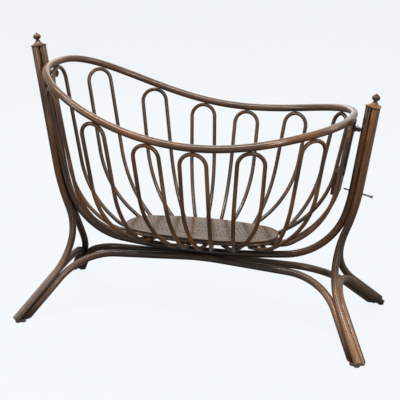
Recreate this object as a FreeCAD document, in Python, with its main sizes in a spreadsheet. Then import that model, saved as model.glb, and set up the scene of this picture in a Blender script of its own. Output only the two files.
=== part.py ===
import FreeCAD
import Part
import Sketcher
import math
import os

# Bentwood cradle: a basket of thin bent hairpins under a bent rim swings between the two posts
# of a stand made of bent rods tied in bundles.
# X runs along the cradle with the foot end at +X, the viewer's side is -Y and Z is up, in mm.

doc = FreeCAD.newDocument("cradle")
sheet = doc.addObject("Spreadsheet::Sheet", "Sizes")

SIZES = [
    # stand rods and how close they lie
    ("rod_dia", 24.0),
    ("rod_gap", 0.3),
    ("seat_gap", 0.1),
    # bow
    ("bow_low_z", 224.7),
    ("bow_sag_radius", 2347.0),
    ("bow_corner_radius", 231.0),
    ("bow_upper_radius", 676.0),
    ("post_straight_z", 495.0),
    ("post_lean_deg", 8.3),
    ("post_base_x", 427.5),
    ("head_post_top_z", 896.0),
    ("foot_post_top_z", 755.5),
    # feet
    ("foot_out", 154.8),
    ("foot_y", 279.6),
    ("foot_slope_deg", 37.31),
    ("foot_turn_deg", 57.76),
    ("foot_end_z", 9.5),
    ("glide_height", 9.0),
    ("glide_dia", 20.0),
    ("glide_set_in", 10.0),
    # legs, rails and end arches
    ("leg_leave_z", 342.0),
    ("leg_knee_z", 126.0),
    ("rail_flat_half", 31.7),
    ("rail_knee_z", 207.8),
    ("rail_flare_radius", 700.0),
    ("rail_knee_radius", 211.0),
    ("rail_side_deg", 72.8),
    ("arch_crown_z", 176.0),
    ("arch_side_deg", 146.3),
    ("arch_flat_half", 1.0),
    # caps and finials
    ("cap_height", 17.0),
    ("cap_eaves", 3.5),
    ("cap_overhang", 1.8),
    ("cap_top_dia", 15.0),
    ("finial_neck_dia", 12.0),
    ("finial_neck_height", 3.5),
    ("finial_ball_dia", 26.0),
    ("finial_height", 27.0),
    # swing axis, as heights at the middle of the posts
    ("swing_head_z", 810.0),
    ("swing_foot_z", 678.0),
    ("pivot_dia", 10.0),
    ("pivot_play", 0.06),
    ("pivot_in_post", 3.8),
    ("pivot_head_dia", 13.0),
    ("pivot_head_thick", 3.0),
    ("spacer_dia", 15.0),
    ("spacer_from", 14.8),
    ("spacer_length", 6.0),
    ("split_pin_wire", 2.4),
    ("split_pin_at", 23.2),
    ("split_pin_eye", 7.0),
    # rim
    ("rim_dia", 24.0),
    ("rim_head_gap", 39.1),
    ("rim_foot_gap", 39.5),
    ("rim_half_width", 308.7),
    ("rim_head_power", 2.65),
    ("rim_foot_power", 2.36),
    ("rim_mid_z", 666.9),
    # hairpins
    ("pin_rod_dia", 13.0),
    ("pin_width", 83.0),
    ("pin_width_head", 97.0),
    ("pin_foot_spread", 27.0),
    ("pin_aim_share", 0.64),
    ("pin_aim_foot", 0.70),
    ("pin_knee_rise", 100.0),
    ("pin_knee_share", 0.69),
    ("pin_heel_out", 39.5),
    ("pin_tail", 30.0),
    ("pin_first_in", 60.6),
    ("pin_last_in", 65.9),
    # floor
    ("board_end_in", 231.8),
    ("board_half_width", 108.0),
    ("board_end_radius", 85.0),
    ("board_shift", 5.3),
    ("board_top_z", 305.3),
    ("board_thick", 6.0),
    ("hoop_dia", 14.0),
    ("hoop_inset", 8.0),
    # straps
    ("strap_width", 25.0),
    ("strap_thick", 4.0),
    ("strap_length", 185.0),
    ("strap_length_head", 44.0),
    ("boss_dia", 18.0),
    ("boss_out", 7.0),
    ("boss_in", 4.5),
    # lock
    ("lock_post_z", 479.0),
    ("lock_tilt_deg", 13.0),
    ("lock_dia", 5.6),
    ("lock_play", 0.3),
    ("lock_tip", 30.0),
    ("lock_reach_out", 66.0),
    ("lock_head_dia", 11.0),
    ("block_from", 156.0),
    ("block_to", 233.0),
    ("block_thick", 24.0),
    ("socket_dia", 11.0),
]

# The six hairpins of a long side: the place of each top between the first and the last one,
# and the place of its feet round the hoop, counted in fourteenths from the head end.
PIN_TOPS_FRONT = [-0.001, 0.201, 0.408, 0.583, 0.787, 0.985]
PIN_TOPS_BACK = [0.004, 0.205, 0.413, 0.599, 0.812, 1.011]
PIN_FEET_FRONT = [0.6, 1.6, 3.2, 4.1, 5.0, 6.1]
PIN_FEET_BACK = [1.35, 2.5, 3.15, 4.0, 4.9, 6.0]
PIN_COUNT = 14
# Height of the rim over its half length, as factors of the share, its square and so on.
RIM_RISE = [-48.2, 140.1, -11.0, -27.5]

for row, (alias, value) in enumerate(SIZES, 1):
    sheet.set("A%d" % row, alias)
    sheet.set("B%d" % row, str(value))
    sheet.setAlias("B%d" % row, alias)
doc.recompute()


def size(alias):
    return float(sheet.get(alias))


def vec(x, y, z):
    return FreeCAD.Vector(x, y, z)


def unit(v):
    return v * (1.0 / v.Length)


def mirrored(v, end, side):
    return vec(v.x * end, v.y * side, v.z)


pieces = {}
UP = vec(0, 0, 1)
ACROSS = vec(0, 1, 0)


# Bends: straight pieces and tangent arcs

def corner_half(a, corner, b):
    return unit(a - corner).getAngle(unit(b - corner)) / 2


def corner_arc(start, corner, end):
    """Arc from start to end, tangent to both sides of the corner."""
    u = unit(start - corner)
    w = unit(end - corner)
    half = u.getAngle(w) / 2
    length = (start - corner).Length
    bisector = unit(u + w)
    centre = corner + bisector * (length / math.cos(half))
    middle = centre - bisector * (length * math.tan(half))
    return Part.Arc(start, middle, end).toShape()


def line(a, b):
    return Part.LineSegment(a, b).toShape()


def rounded(points, reaches):
    """Lines through the points; each inner corner is rounded over its reach along both sides."""
    edges = []
    at = points[0]
    for before, corner, after, reach in zip(points, points[1:], points[2:], reaches):
        start = corner + unit(before - corner) * reach
        end = corner + unit(after - corner) * reach
        if (start - at).Length > 0.01:
            edges.append(line(at, start))
        edges.append(corner_arc(start, corner, end))
        at = end
    edges.append(line(at, points[-1]))
    return edges


def biarc(p0, t0, p1, t1):
    """Two arcs that leave p0 along t0 and arrive at p1 along t1."""
    v = p1 - p0
    t = t0 + t1
    a = 2 * (1 - t0.dot(t1))
    b = 2 * v.dot(t)
    c = v.dot(v)
    if a < 1e-9:
        d = c / b
    else:
        d = (-b + math.sqrt(b * b + 4 * a * c)) / (2 * a)
    q0 = p0 + t0 * d
    q1 = p1 - t1 * d
    middle = (q0 + q1) * 0.5
    return [corner_arc(p0, q0, middle), corner_arc(middle, q1, p1)]


def bend(edges, start, direction, dia):
    """Round rod bent along the edges: the ring round its start is drawn along lines and round arcs."""
    ring = Part.Circle(start, direction, dia / 2).toShape()
    faces = [Part.Face(Part.Wire([ring]))]
    length = 0.0
    at = start
    for edge in edges:
        first, last = edge.valueAt(edge.FirstParameter), edge.valueAt(edge.LastParameter)
        if (first - at).Length > (last - at).Length:
            first, last = last, first
        if isinstance(edge.Curve, Part.Circle):
            centre = edge.Curve.Center
            middle = edge.valueAt((edge.FirstParameter + edge.LastParameter) / 2)
            axle = unit((first - centre).cross(middle - centre))
            angle = math.degrees(edge.Length / edge.Curve.Radius)
            faces.append(ring.revolve(centre, axle, angle))
            ring = ring.copy()
            ring.rotate(centre, axle, angle)
        else:
            faces.append(ring.extrude(last - first))
            ring = ring.copy()
            ring.translate(last - first)
        length += edge.Length
        at = last
    faces.append(Part.Face(Part.Wire([ring])))
    skin = Part.Shell(faces)
    skin.sewShape()
    solid = Part.Solid(skin)
    if solid.Volume < 0:
        solid.reverse()
    expected = length * math.pi * dia ** 2 / 4
    if abs(solid.Volume - expected) > 0.01 * expected:
        raise ValueError("rod volume %.0f instead of %.0f" % (solid.Volume, expected))
    return solid


def keep(name, shape):
    """A piece whose shape is worked out here from the sheet."""
    feature = doc.addObject("Part::Feature", name)
    feature.Shape = shape
    pieces[name] = feature
    return feature


def body_plane(body, role):
    for feature in body.Origin.OriginFeatures:
        if feature.Role == role:
            return feature


def sketch_on(body, role, name):
    sketch = body.newObject("Sketcher::SketchObject", name)
    sketch.AttachmentSupport = [(body_plane(body, role), "")]
    sketch.MapMode = "FlatFace"
    return sketch


def outline(sketch, points):
    """Closed run of lines through the points."""
    count = len(points)
    for i in range(count):
        a = points[i]
        b = points[(i + 1) % count]
        sketch.addGeometry(Part.LineSegment(vec(a[0], a[1], 0), vec(b[0], b[1], 0)))
    for i in range(count):
        sketch.addConstraint(Sketcher.Constraint("Coincident", i, 2, (i + 1) % count, 1))


def turned(name, profile, base, direction):
    """Piece turned about its own axis; profile is a list of (radius, height)."""
    body = doc.addObject("PartDesign::Body", name + "_body")
    sketch = sketch_on(body, "XZ_Plane", name + "_profile")
    outline(sketch, profile)
    turn = body.newObject("PartDesign::Revolution", name + "_turn")
    turn.Profile = sketch
    turn.ReferenceAxis = (sketch, ["V_Axis"])
    turn.Angle = 360.0
    body.Placement = FreeCAD.Placement(base, FreeCAD.Rotation(UP, direction))
    return body


rod = size("rod_dia")
spacing = rod + size("rod_gap")
nest = spacing * math.sqrt(3) / 2
lean = math.radians(size("post_lean_deg"))


# Bow and posts

def bow_x(z):
    """Middle of the straight part of the post at a height."""
    return size("post_base_x") + math.tan(lean) * z


def post_point(end, z, out=0.0, y=0.0):
    """Point of the post, out square to its length; end is 1 at the foot and -1 at the head."""
    return vec(end * (bow_x(z) + out * math.cos(lean)), y, z - out * math.sin(lean))


sag = size("bow_sag_radius")
corner = size("bow_corner_radius")
upper = size("bow_upper_radius")
sag_centre = (0.0, size("bow_low_z") + sag)
straight_z = size("post_straight_z")
upper_centre = (bow_x(straight_z) - upper * math.cos(lean), straight_z + upper * math.sin(lean))
gap_x = upper_centre[0] - sag_centre[0]
gap_z = upper_centre[1] - sag_centre[1]
gap = math.hypot(gap_x, gap_z)
along = ((sag - corner) ** 2 - (upper - corner) ** 2 + gap ** 2) / (2 * gap)
aside = math.sqrt((sag - corner) ** 2 - along ** 2)
corner_centre = (sag_centre[0] + (along * gap_x - aside * gap_z) / gap,
                 sag_centre[1] + (along * gap_z + aside * gap_x) / gap)
sag_end = math.atan2(corner_centre[1] - sag_centre[1], corner_centre[0] - sag_centre[0])
corner_end = math.atan2(corner_centre[1] - upper_centre[1], corner_centre[0] - upper_centre[0])

post_top = {1: size("foot_post_top_z"), -1: size("head_post_top_z")}
bow_body = doc.addObject("PartDesign::Body", "bow_body")
for end, label in ((1, "foot"), (-1, "head")):
    section = sketch_on(bow_body, "YZ_Plane", "bow_section_" + label)
    section.addGeometry(Part.Circle(vec(0, size("bow_low_z"), 0), UP, rod / 2))
    section.addConstraint(Sketcher.Constraint("Radius", 0, rod / 2))
    section.setExpression("Constraints[0]", "Sizes.rod_dia / 2")
    path = sketch_on(bow_body, "XZ_Plane", "bow_path_" + label)
    arcs = [(sag_centre, sag, -math.pi / 2, sag_end),
            (corner_centre, corner, sag_end, corner_end),
            (upper_centre, upper, corner_end, -lean)]
    for centre, radius, start, stop in arcs:
        if end < 0:
            start, stop = math.pi - stop, math.pi - start
        circle = Part.Circle(vec(end * centre[0], centre[1], 0), UP, radius)
        path.addGeometry(Part.ArcOfCircle(circle, start, stop))
    low = post_point(end, straight_z)
    top = post_point(end, post_top[end])
    path.addGeometry(Part.LineSegment(vec(low.x, low.z, 0), vec(top.x, top.z, 0)))
    doc.recompute()
    sweep = bow_body.newObject("PartDesign::AdditivePipe", "bow_bend_" + label)
    sweep.Profile = section
    sweep.Spine = (path, ["Edge1", "Edge2", "Edge3", "Edge4"])
    doc.recompute()

# Swing axis and the bores in the bow

axis_head = post_point(-1, size("swing_head_z"))
axis_foot = post_point(1, size("swing_foot_z"))
swing = unit(axis_foot - axis_head)
pivot_base = {1: axis_foot, -1: axis_head}
pivot = size("pivot_dia")
lock_tilt = math.radians(size("lock_tilt_deg"))
lock_at = post_point(1, size("lock_post_z"))
lock_out = vec(math.cos(lock_tilt), 0, -math.sin(lock_tilt))


def drill(name, radius, start, direction, length):
    """Round tool whose radius is an expression in the sheet's names."""
    tool = doc.addObject("Part::Cylinder", name)
    tool.setExpression("Radius", radius)
    tool.Height = length
    tool.Placement = FreeCAD.Placement(start, FreeCAD.Rotation(UP, direction))
    return tool


lock_drill = drill("lock_drill", "Sizes.lock_dia / 2 + Sizes.lock_play", lock_at - lock_out * rod,
                   lock_out, 3 * rod)
drills = [lock_drill]
for end, label in ((1, "foot"), (-1, "head")):
    inward = swing * -end
    start = pivot_base[end] - inward * (size("pivot_in_post") + size("seat_gap"))
    drills.append(drill("pivot_drill_" + label, "Sizes.pivot_dia / 2 + Sizes.seat_gap", start, inward, rod))
bores = doc.addObject("Part::MultiFuse", "bow_bores")
bores.Shapes = drills
bow = doc.addObject("Part::Cut", "bow")
bow.Base = bow_body
bow.Tool = bores
pieces["bow"] = bow
doc.recompute()


# Legs, rails and end arches: three rods come down side by side to each foot

foot_x = size("post_base_x") + size("foot_out")
foot_slope = math.radians(size("foot_slope_deg"))
foot_turn = math.radians(size("foot_turn_deg"))
foot_dir = vec(math.cos(foot_slope) * math.cos(foot_turn), math.cos(foot_slope) * math.sin(foot_turn),
               -math.sin(foot_slope))
foot_level = unit(UP.cross(foot_dir))
foot_below = unit(foot_level.cross(foot_dir))
if foot_below.z > 0:
    foot_below = foot_below * -1


def foot_line(side_deg=None):
    """Point where the middle of a foot rod meets the floor; the leg has no side angle."""
    base = vec(foot_x, size("foot_y"), 0)
    if side_deg is None:
        return base
    angle = math.radians(side_deg)
    return base + (foot_level * math.cos(angle) + foot_below * math.sin(angle)) * spacing


def on_foot_line(base, z):
    return base + foot_dir * (z / foot_dir.z)


floor_reach = foot_x + size("foot_y")
floor_top = size("glide_height") + size("seat_gap")
floor_depth = 3 * spacing
floor_cut = Part.makeBox(2 * floor_reach, 2 * floor_reach, floor_depth,
                         vec(-floor_reach, -floor_reach, floor_top - floor_depth))
foot_ends = []


def foot_end(base, end, side):
    tip = mirrored(on_foot_line(base, size("foot_end_z")), end, side)
    foot_ends.append((tip, mirrored(foot_dir, end, side)))
    return tip


for end, end_name in ((-1, "head"), (1, "foot")):
    for side, side_name in ((-1, "front"), (1, "back")):
        y = side * spacing / 2
        top = post_point(end, post_top[end], nest, y)
        low = post_point(end, straight_z, nest, y)
        outer = upper + nest
        leave = math.asin((size("leg_leave_z") - upper_centre[1]) / outer)

        def beside(angle):
            return vec(end * (upper_centre[0] + outer * math.cos(angle)), y,
                       upper_centre[1] + outer * math.sin(angle))

        start = beside(leave)
        heading = vec(end * math.sin(leave), 0, -math.cos(leave))
        base = foot_line()
        knee = mirrored(on_foot_line(base, size("leg_knee_z")), end, side)
        arrive = mirrored(foot_dir, end, side)
        edges = [line(top, low), Part.Arc(low, beside((leave - lean) / 2), start).toShape()]
        edges += biarc(start, heading, knee, arrive)
        edges.append(line(knee, foot_end(base, end, side)))
        solid = bend(edges, top, low - top, rod).cut(floor_cut)
        if end > 0:
            solid = solid.cut(lock_drill.Shape)
        keep("leg_%s_%s" % (end_name, side_name), solid)

for side, side_name in ((-1, "front"), (1, "back")):
    base = foot_line(size("rail_side_deg"))
    level = size("bow_low_z") - nest
    flat = vec(size("rail_flat_half"), spacing / 2, level)
    knee = on_foot_line(base, size("rail_knee_z"))
    flare = size("rail_flare_radius") / math.tan(corner_half(flat - vec(flat.x, 0, 0), flat, knee))
    turn = size("rail_knee_radius") / math.tan(corner_half(flat, knee, base))
    points = [foot_end(base, -1, side), mirrored(knee, -1, side), mirrored(flat, -1, side),
              mirrored(flat, 1, side), mirrored(knee, 1, side), foot_end(base, 1, side)]
    edges = rounded(points, [turn, flare, flare, turn])
    solid = bend(edges, points[0], points[1] - points[0], rod)
    keep("rail_" + side_name, solid.cut(floor_cut))

for end, end_name in ((-1, "head"), (1, "foot")):
    base = foot_line(size("arch_side_deg"))
    crown = on_foot_line(base, size("arch_crown_z"))
    reach = crown.y - size("arch_flat_half")
    points = [foot_end(base, end, -1), mirrored(crown, end, -1), mirrored(crown, end, 1),
              foot_end(base, end, 1)]
    edges = rounded(points, [reach, reach])
    solid = bend(edges, points[0], points[1] - points[0], rod)
    keep("end_arch_" + end_name, solid.cut(floor_cut))

# Glides under the flats of the rod ends
glide_solids = []
for tip, direction in foot_ends:
    outward = unit(vec(direction.x, direction.y, 0))
    at = tip - outward * size("glide_set_in")
    glide_solids.append(Part.makeCylinder(size("glide_dia") / 2, size("glide_height"), vec(at.x, at.y, 0)))
keep("glides", Part.makeCompound(glide_solids))


# Caps and finials on the posts

for end, end_name in ((-1, "head"), (1, "foot")):
    direction = vec(end * math.sin(lean), 0, math.cos(lean))
    centre = post_point(end, post_top[end], nest * 2 / 3)
    base = centre + direction * size("seat_gap")
    height = size("cap_height")
    corners = [post_point(end, post_top[end]), post_point(end, post_top[end], nest, -end * spacing / 2),
               post_point(end, post_top[end], nest, end * spacing / 2)]
    eaves = size("cap_eaves")
    brim = rod / 2 + size("cap_overhang")
    crest = size("cap_top_dia") / 2

    def cap_outline(height_now, share, radius):
        """Belt round the three rods at a height, drawn in to a share of their spacing."""
        lift = direction * (size("seat_gap") + height_now)
        hubs = [centre + (at - centre) * share + lift for at in corners]
        starts, ends, tips = [], [], []
        for hub in hubs:
            out = unit(hub - centre - lift)
            aside = direction.cross(out) * math.sin(math.pi / 3)
            starts.append(hub + (out * math.cos(math.pi / 3) - aside) * radius)
            ends.append(hub + (out * math.cos(math.pi / 3) + aside) * radius)
            tips.append(hub + out * radius)
        belt = []
        for k in range(3):
            belt.append(Part.Arc(starts[k], tips[k], ends[k]).toShape())
            belt.append(line(ends[k], starts[(k + 1) % 3]))
        return Part.Wire(belt)

    bell = [(0, 1, brim), (0.25, 0.55, (2 * brim + crest) / 3), (0.6, 0.18, (brim + 3 * crest) / 4),
            (1, 0.02, crest)]
    roof = Part.makeLoft([cap_outline(eaves + (height - eaves) * rise, share, radius)
                          for rise, share, radius in bell], True)
    solid = Part.Face(cap_outline(0, 1, brim)).extrude(direction * eaves).fuse(roof).removeSplitter()
    keep("post_cap_" + end_name, solid)

    neck = size("finial_neck_dia") / 2
    ball = size("finial_ball_dia") / 2
    neck_top = size("finial_neck_height")
    tip = size("finial_height")
    profile = [(0, 0), (neck, 0), (neck, neck_top - 0.8), (neck - 0.8, neck_top)]
    steps = 7
    for i in range(1, steps):
        angle = math.pi * i / steps
        z = neck_top + (tip - neck_top) * (1 - math.cos(angle)) / 2
        profile.append((max(neck - 0.8, ball * math.sin(angle) ** 0.9), z))
    profile += [(1.6, tip - 0.4), (0, tip)]
    finial_base = base + direction * (height + size("seat_gap"))
    pieces["finial_" + end_name] = turned("finial_" + end_name, profile, finial_base, direction)


# Rim: the plan is a full oval and its height rises to both ends

rim_rod = size("rim_dia")
rim_head_x = axis_head.x + size("rim_head_gap")
rim_foot_x = axis_foot.x - size("rim_foot_gap")
rim_mid_x = (rim_head_x + rim_foot_x) / 2
rim_half = (rim_foot_x - rim_head_x) / 2
RIM_SAMPLES = 1200
rim_line = []
head_power = size("rim_head_power")
foot_power = size("rim_foot_power")
rim_width = size("rim_half_width")
rim_level = size("rim_mid_z")
for i in range(RIM_SAMPLES + 1):
    angle = math.pi * (1 - i / RIM_SAMPLES)
    c = math.cos(angle)
    power = head_power if c < 0 else foot_power
    x = rim_mid_x + rim_half * math.copysign(abs(c) ** (2 / power), c)
    y = rim_width * abs(math.sin(angle)) ** (2 / power)
    u = x / rim_half
    z = rim_level + sum(factor * u ** (k + 1) for k, factor in enumerate(RIM_RISE))
    rim_line.append(vec(x, -y, z))
rim_run = [0.0]
for a, b in zip(rim_line, rim_line[1:]):
    rim_run.append(rim_run[-1] + (b - a).Length)


def rim_at(run):
    """Point of the front half of the rim at a length from its head end."""
    low = 0
    high = len(rim_run) - 1
    while high - low > 1:
        mid = (low + high) // 2
        if rim_run[mid] <= run:
            low = mid
        else:
            high = mid
    share = (run - rim_run[low]) / (rim_run[high] - rim_run[low])
    return rim_line[low] + (rim_line[high] - rim_line[low]) * share


def rim_heading(run):
    step = 6.0
    before = max(0.0, run - step)
    after = min(rim_run[-1], run + step)
    return unit(rim_at(after) - rim_at(before))


RIM_BENDS = 14
knots = []
for i in range(RIM_BENDS + 1):
    run = rim_run[-1] * i / RIM_BENDS
    heading = rim_heading(run)
    if i in (0, RIM_BENDS):
        heading = vec(0, -1 if i == 0 else 1, 0)
    knots.append((rim_at(run), heading))
rim_edges = []
for (p0, t0), (p1, t1) in zip(knots, knots[1:]):
    rim_edges += biarc(p0, t0, p1, t1)
front_rim = bend(rim_edges, knots[0][0], knots[0][1], rim_rod)
back_rim = front_rim.mirror(vec(0, 0, 0), ACROSS)
keep("rim", front_rim.fuse(back_rim).removeSplitter())
rim_path = Part.Wire(rim_edges)
rim_points = rim_path.discretize(Number=700)
rim_points += [vec(p.x, -p.y, p.z) for p in rim_points]


# Floor hoop and board: an oval of four arcs

def oval(half_length, half_width, end_radius):
    """Middle distance of the end arcs, radius of the side arcs and their half angle."""
    end_mid = half_length - end_radius
    side_radius = (end_mid ** 2 + half_width ** 2 - end_radius ** 2) / (2 * (half_width - end_radius))
    half_angle = math.atan2(end_mid, side_radius - half_width)
    return end_mid, side_radius, half_angle


board_mid = rim_mid_x + size("board_shift")
end_mid, side_radius, side_half = oval(rim_half - size("board_end_in"), size("board_half_width"),
                                       size("board_end_radius"))
inset = size("hoop_inset")
hoop_end = size("board_end_radius") - inset
hoop_side = side_radius - inset
side_mid = side_radius - size("board_half_width")
hoop_dia = size("hoop_dia")
board_low = size("board_top_z") - size("board_thick")
hoop_z = board_low - size("rod_gap") - hoop_dia / 2


def oval_arcs(end_radius, long_radius, z):
    """The four arcs of the oval, from the front side onwards."""
    near = math.sin(side_half) * long_radius
    flat = side_mid - math.cos(side_half) * long_radius
    front = long_radius - side_mid
    far = end_mid + end_radius
    left = vec(board_mid - near, flat, z)
    right = vec(board_mid + near, flat, z)
    left_back = vec(left.x, -left.y, z)
    right_back = vec(right.x, -right.y, z)
    return [Part.Arc(left, vec(board_mid, -front, z), right),
            Part.Arc(right, vec(board_mid + far, 0, z), right_back),
            Part.Arc(right_back, vec(board_mid, front, z), left_back),
            Part.Arc(left_back, vec(board_mid - far, 0, z), left)]


hoop_arcs = [arc.toShape() for arc in oval_arcs(hoop_end, hoop_side, hoop_z)]
half_hoops = []
for pair in (hoop_arcs[:2], hoop_arcs[2:]):
    begin = pair[0].Vertexes[0].Point
    half_hoops.append(bend(pair, begin, pair[0].tangentAt(pair[0].FirstParameter), hoop_dia))
keep("floor_hoop", half_hoops[0].fuse(half_hoops[1]).removeSplitter())

board_body = doc.addObject("PartDesign::Body", "floor_board_body")
board_sketch = sketch_on(board_body, "XY_Plane", "floor_board_outline")
for arc in oval_arcs(size("board_end_radius"), side_radius, 0):
    board_sketch.addGeometry(arc)
for i in range(4):
    board_sketch.addConstraint(Sketcher.Constraint("Coincident", i, 2, (i + 1) % 4, 1))
board_pad = board_body.newObject("PartDesign::Pad", "floor_board_sheet")
board_pad.Profile = board_sketch
board_pad.setExpression("Length", "Sizes.board_thick")
board_body.Placement = FreeCAD.Placement(vec(0, 0, board_low), FreeCAD.Rotation())
pieces["floor_board"] = board_body


def hoop_at(run):
    """Point of the hoop at a length from the middle of its head end, along the front side."""
    end_half = (math.pi / 2 - side_half) * hoop_end
    side_whole = 2 * side_half * hoop_side
    half_way = 2 * end_half + side_whole
    side = 1
    if run < 0:
        run = -run
        side = -1
    if run > half_way:
        run = 2 * half_way - run
        side = -side
    if run < end_half:
        angle = run / hoop_end
        point = vec(-end_mid - hoop_end * math.cos(angle), -hoop_end * math.sin(angle), 0)
    elif run < end_half + side_whole:
        angle = (run - end_half) / hoop_side - side_half
        point = vec(hoop_side * math.sin(angle), side_mid - hoop_side * math.cos(angle), 0)
    else:
        angle = (half_way - run) / hoop_end
        point = vec(end_mid + hoop_end * math.cos(angle), -hoop_end * math.sin(angle), 0)
    return vec(board_mid + point.x, side * point.y, 0)


hoop_round = 4 * (math.pi / 2 - side_half) * hoop_end + 4 * side_half * hoop_side


# Hairpins: thin rods bent into narrow arches that hang under the rim and run in under the hoop

pin_rod = size("pin_rod_dia")
pin_z = hoop_z - hoop_dia / 2 - size("rod_gap") - pin_rod / 2


def hairpin(top, chord, width, place, aim_share):
    """Solid, apex and leg direction of the hairpin; place counts hairpins round the hoop."""
    middle = hoop_round * place / PIN_COUNT
    spread = size("pin_foot_spread") / 2
    under = [hoop_at(middle - spread), hoop_at(middle + spread)]
    centre = (under[0] + under[1]) * 0.5
    away = vec(top.x - centre.x, top.y - centre.y, 0)
    aim = centre + away * aim_share + vec(0, 0, pin_z)
    clear = (rim_rod + pin_rod) / 2 + size("rod_gap")
    drop = clear
    near = [p for p in rim_points if (p - top).Length < width + rim_rod]
    for attempt in range(6):
        apex = top - UP * drop
        down = unit(aim - apex)
        across = unit(chord - down * chord.dot(down))
        hub = apex + down * (width / 2)
        closest = clear + width
        for i in range(-16, 17):
            angle = math.radians(i * 5)
            point = hub + (across * math.sin(angle) - down * math.cos(angle)) * (width / 2)
            closest = min(closest, min((point - p).Length for p in near))
        drop += clear - closest
    tops = [hub - across * (width / 2), hub + across * (width / 2)]
    if (tops[0] - under[0]).Length > (tops[0] - under[1]).Length:
        under.reverse()
    legs = []
    for a, ground in zip(tops, under):
        knee = a + down * ((a.z - pin_z - size("pin_knee_rise")) / -down.z)
        cross = vec(ground.x, ground.y, pin_z)
        inward = unit(vec(cross.x - knee.x, cross.y - knee.y, 0))
        heel = cross - inward * size("pin_heel_out")
        tail = cross + inward * size("pin_tail")
        slant = (heel - knee).Length
        heel_reach = size("pin_heel_out") - hoop_dia / 2
        legs.append(([a, knee, heel, tail], [slant * size("pin_knee_share"), heel_reach]))
    points, reaches = legs[0]
    start = points[-1]
    heading = points[-2] - start
    edges = rounded(points[::-1], reaches[::-1])
    edges.append(Part.Arc(tops[0], apex, tops[1]).toShape())
    edges += rounded(*legs[1])
    return bend(edges, start, heading, pin_rod), apex, down


def rim_run_at(x):
    low = 0.0
    high = rim_run[-1]
    for attempt in range(50):
        middle = (low + high) / 2
        if rim_at(middle).x < x:
            low = middle
        else:
            high = middle
    return (low + high) / 2


first_x = rim_head_x + size("pin_first_in")
last_x = rim_foot_x - size("pin_last_in")
for side, side_name, tops, feet in ((1, "front", PIN_TOPS_FRONT, PIN_FEET_FRONT),
                                    (-1, "back", PIN_TOPS_BACK, PIN_FEET_BACK)):
    for number, (share, place) in enumerate(zip(tops, feet), 1):
        run = rim_run_at(first_x + (last_x - first_x) * share)
        heading = rim_heading(run)
        level_heading = unit(vec(heading.x, heading.y, 0))
        solid, apex, down = hairpin(rim_at(run), level_heading, size("pin_width"), place,
                                    size("pin_aim_share"))
        keep("hairpin_%s_%d" % (side_name, number), solid if side > 0 else solid.mirror(vec(0, 0, 0), ACROSS))

end_pins = {}
for end, end_name, width, place, aim_share in ((-1, "head", "pin_width_head", 0, "pin_aim_share"),
                                               (1, "foot", "pin_width", PIN_COUNT / 2, "pin_aim_foot")):
    top = rim_line[0] if end < 0 else rim_line[-1]
    solid, apex, down = hairpin(top, ACROSS, size(width), place, size(aim_share))
    keep("hairpin_" + end_name, solid)
    end_pins[end] = (top, apex, down)


# Iron straps on the end hairpins, bored for the pivots

strap_lift = pin_rod / 2 + size("rod_gap")
pivot_reach = {}
for end, end_name, strap_length in ((-1, "head", "strap_length_head"), (1, "foot", "strap_length")):
    top, apex, down = end_pins[end]
    outward = unit(ACROSS.cross(down))
    if outward.x * end < 0:
        outward = outward * -1
    to_rim = top - apex
    rim_clear = rim_rod / 2 + size("rod_gap")
    aside = strap_lift - to_rim.dot(outward)
    rise = -to_rim.dot(down) - math.sqrt(max(0.0, rim_clear ** 2 - aside ** 2))
    corner_at = apex + outward * strap_lift - down * rise
    body = doc.addObject("PartDesign::Body", "strap_%s_body" % end_name)
    sketch = sketch_on(body, "XY_Plane", "strap_%s_outline" % end_name)
    half = size("strap_width") / 2
    length = size(strap_length)
    sketch.addGeometry(Part.LineSegment(vec(-half, 0, 0), vec(half, 0, 0)))
    sketch.addGeometry(Part.LineSegment(vec(half, 0, 0), vec(half, length - half, 0)))
    sketch.addGeometry(Part.Arc(vec(half, length - half, 0), vec(0, length, 0), vec(-half, length - half, 0)))
    sketch.addGeometry(Part.LineSegment(vec(-half, length - half, 0), vec(-half, 0, 0)))
    pad = body.newObject("PartDesign::Pad", "strap_%s_plate" % end_name)
    pad.Profile = sketch
    pad.setExpression("Length", "Sizes.strap_thick")
    turn = FreeCAD.Rotation(down.cross(outward), down, outward, "ZYX")
    body.Placement = FreeCAD.Placement(corner_at, turn)
    inward = swing * -end
    plate_mid = corner_at + outward * (size("strap_thick") / 2)
    base = pivot_base[end]
    through = (plate_mid - base).dot(outward) / inward.dot(outward)
    pivot_reach[end] = through
    boss = drill("boss_" + end_name, "Sizes.boss_dia / 2", base + inward * (through - size("boss_out")),
                 inward, size("boss_out") + size("boss_in"))
    plate = doc.addObject("Part::Fuse", "strap_%s_blank" % end_name)
    plate.Base = body
    plate.Tool = boss
    bore = drill("eye_" + end_name, "Sizes.pivot_dia / 2 + Sizes.pivot_play", base + inward * (through - rod),
                 inward, 2 * rod)
    strap = doc.addObject("Part::Cut", "strap_" + end_name)
    strap.Base = plate
    strap.Tool = bore
    pieces["strap_" + end_name] = strap


# Pivot pins with an inner head, spacer tubes and split pins

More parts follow.
